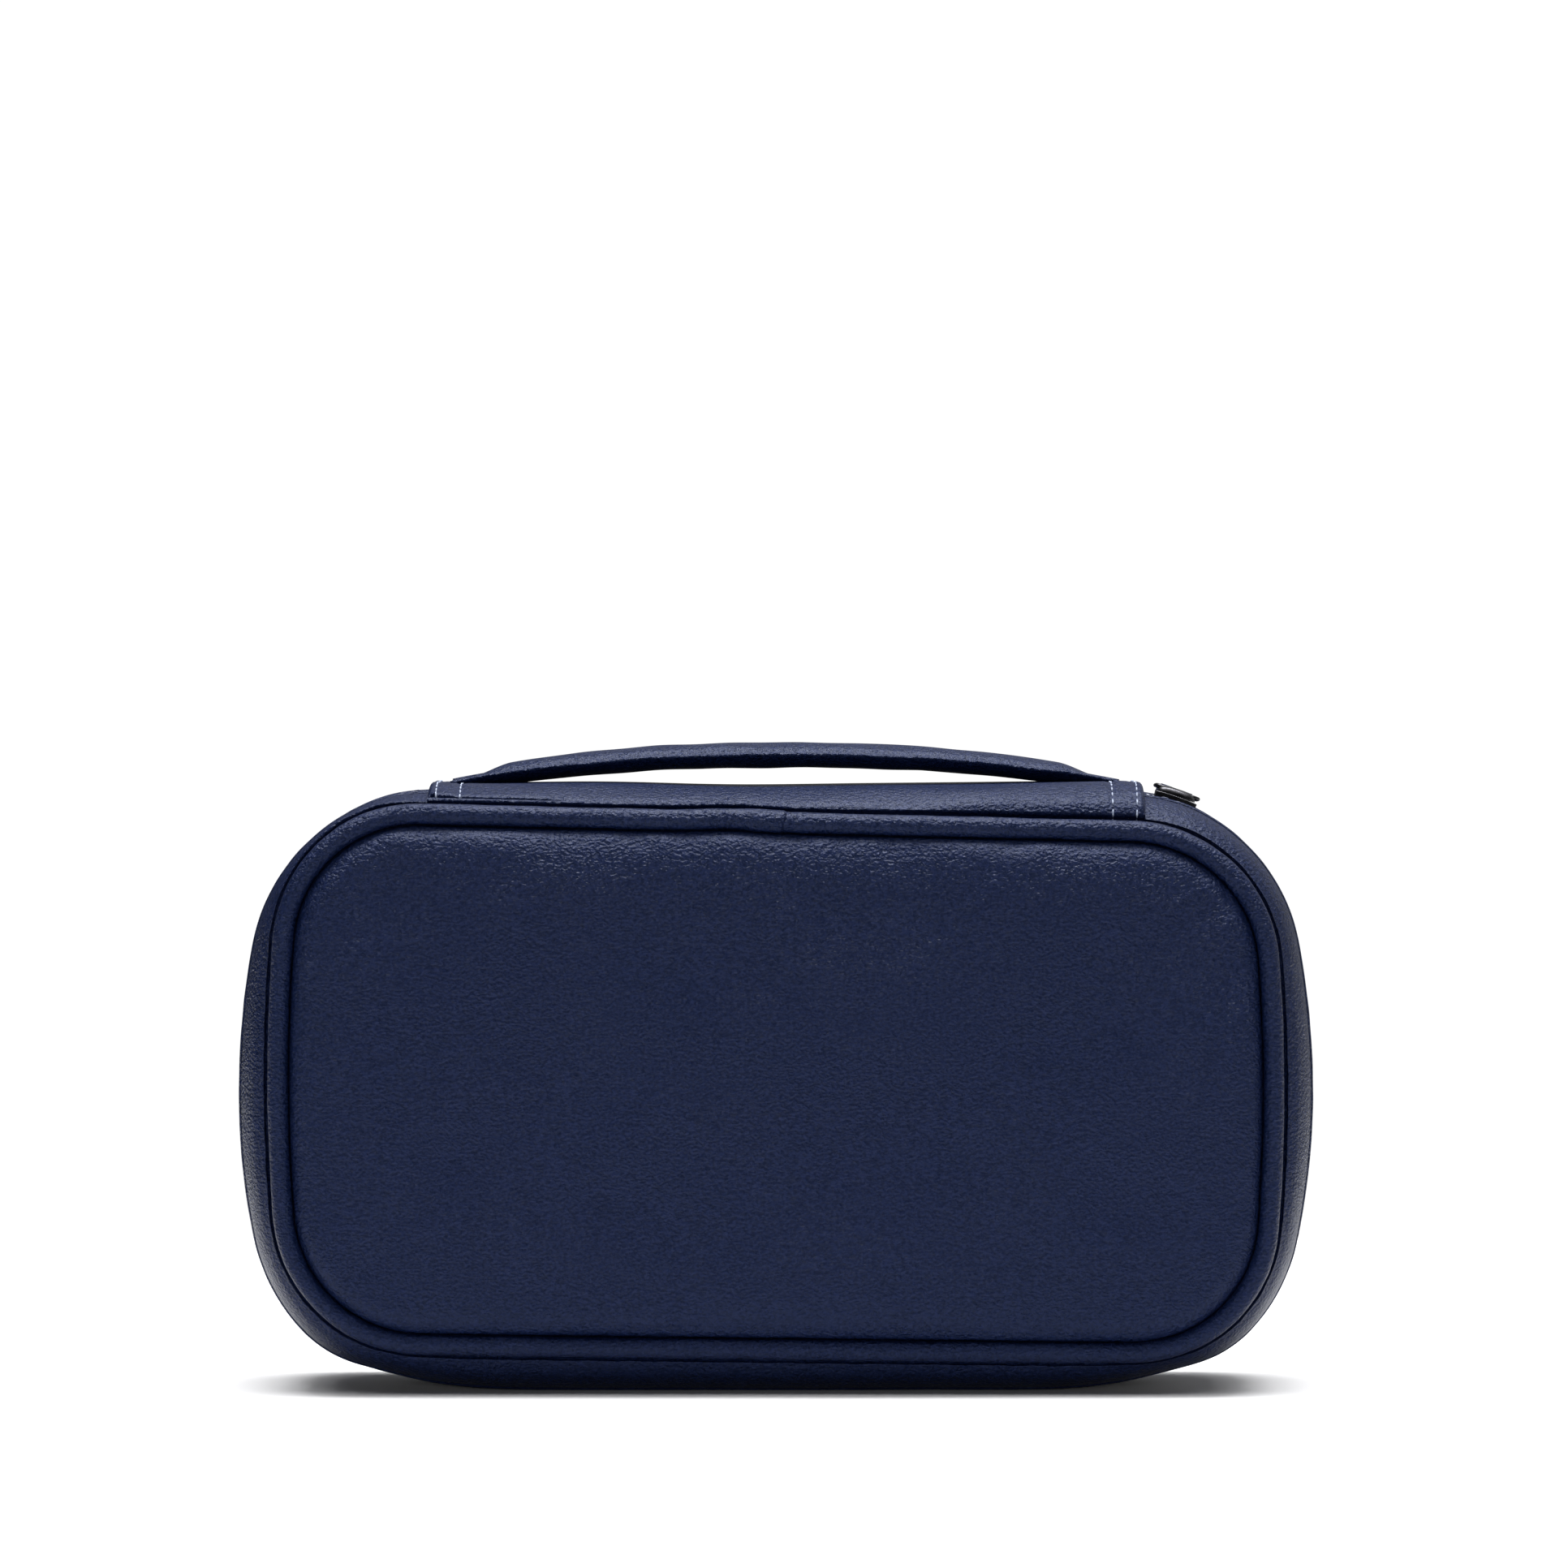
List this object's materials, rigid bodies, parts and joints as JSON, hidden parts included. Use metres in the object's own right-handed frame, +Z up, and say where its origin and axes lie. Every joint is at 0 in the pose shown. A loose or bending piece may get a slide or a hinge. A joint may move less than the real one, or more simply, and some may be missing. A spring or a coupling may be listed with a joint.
{
  "type": "jewellery case",
  "caption": "Zip-round leather travel jewellery case with piped padded panels, a flat top handle, a folding lid, ring rolls and a divided tray.",
  "frame": {"origin": "on the surface the case stands on, midway along its width and depth", "axes": "+X along the case's width towards the closed zip's slider, +Y towards the back, +Z up"},
  "size_m": [0.24, 0.063, 0.1443],
  "materials": {
    "navy_leather": "satin, fine pebbled grain",
    "suede": "soft matt suede",
    "foam": "matt foam",
    "board": "matt",
    "cord": "matt twisted cord",
    "zip_tape": "woven",
    "zip_metal": "dark gunmetal plating",
    "snap_metal": "dark nickel",
    "elastic": "ribbed"
  },
  "bodies": {
    "back_half": {"back_panel_leather": "navy_leather", "back_piping": "navy_leather", "back_gusset_leather": "navy_leather", "back_spine_leather": "navy_leather", "handle_top_leather": "navy_leather", "handle_lining": "navy_leather", "back_panel_foam": "foam", "handle_filler": "foam", "back_panel_board": "board", "back_gusset_board": "board", "back_panel_lining": "suede", "back_gusset_lining": "suede", "ring_roll_base": "suede", "tray_wall": "suede", "tray_floor": "suede", "tray_divider_upright": "suede", "tray_shelf_left": "suede", "tray_shelf_right": "suede", "back_piping_cord": "cord", "zip_tape_back": "zip_tape", "zip_tape_left_end": "zip_tape", "zip_tape_right_end": "zip_tape", "zip_teeth_back": "zip_metal", "zip_teeth_ends": "zip_metal", "ring_roll_1": "suede", "ring_roll_2": "suede", "ring_roll_3": "suede", "ring_roll_4": "suede", "ring_roll_5": "suede", "ring_roll_6": "suede"},
    "zip_slider": {"zip_slider_body": "zip_metal", "zip_slider_bridge": "zip_metal"},
    "zip_pull": {"zip_pull_link": "zip_metal", "zip_pull_tab": "navy_leather"},
    "lid": {"front_panel_leather": "navy_leather", "front_piping": "navy_leather", "front_gusset_leather": "navy_leather", "front_spine_leather": "navy_leather", "front_panel_foam": "foam", "front_panel_board": "board", "front_gusset_board": "board", "front_panel_lining": "suede", "front_gusset_lining": "suede", "lid_pocket": "suede", "necklace_strip": "suede", "lid_pocket_elastic": "elastic", "front_piping_cord": "cord", "zip_tape_front": "zip_tape", "zip_teeth_front": "zip_metal", "snap_posts": "snap_metal"},
    "necklace_tab_1": {"necklace_tab_1": "suede", "snap_cap_1": "snap_metal"},
    "necklace_tab_2": {"necklace_tab_2": "suede", "snap_cap_2": "snap_metal"},
    "necklace_tab_3": {"necklace_tab_3": "suede", "snap_cap_3": "snap_metal"},
    "necklace_tab_4": {"necklace_tab_4": "suede", "snap_cap_4": "snap_metal"}
  },
  "joints": [
    {"name": "lid_fold", "type": "hinge", "parent": "back_half", "child": "lid", "pos_m": [0, -0.006, 0.1353], "axis": [-1, 0, 0], "range_deg": [0, 95]},
    {"name": "slider_run", "type": "hinge", "parent": "back_half", "child": "zip_slider", "pos_m": [0.07542, -0.006, 0.0921], "axis": [0, 1, 0], "range_deg": [0, 50]},
    {"name": "pull_swing", "type": "hinge", "parent": "zip_slider", "child": "zip_pull", "pos_m": [0.08998, -0.006, 0.13346], "axis": [0.9432, 0, -0.3322], "range_deg": [0, 168]},
    {"name": "tab_1_lift", "type": "hinge", "parent": "lid", "child": "necklace_tab_1", "pos_m": [-0.057, -0.0196, 0.111], "axis": [1, 0, 0], "range_deg": [0, 75]},
    {"name": "tab_2_lift", "type": "hinge", "parent": "lid", "child": "necklace_tab_2", "pos_m": [-0.019, -0.0196, 0.111], "axis": [1, 0, 0], "range_deg": [0, 75]},
    {"name": "tab_3_lift", "type": "hinge", "parent": "lid", "child": "necklace_tab_3", "pos_m": [0.019, -0.0196, 0.111], "axis": [1, 0, 0], "range_deg": [0, 75]},
    {"name": "tab_4_lift", "type": "hinge", "parent": "lid", "child": "necklace_tab_4", "pos_m": [0.057, -0.0196, 0.111], "axis": [1, 0, 0], "range_deg": [0, 75]}
  ]
}
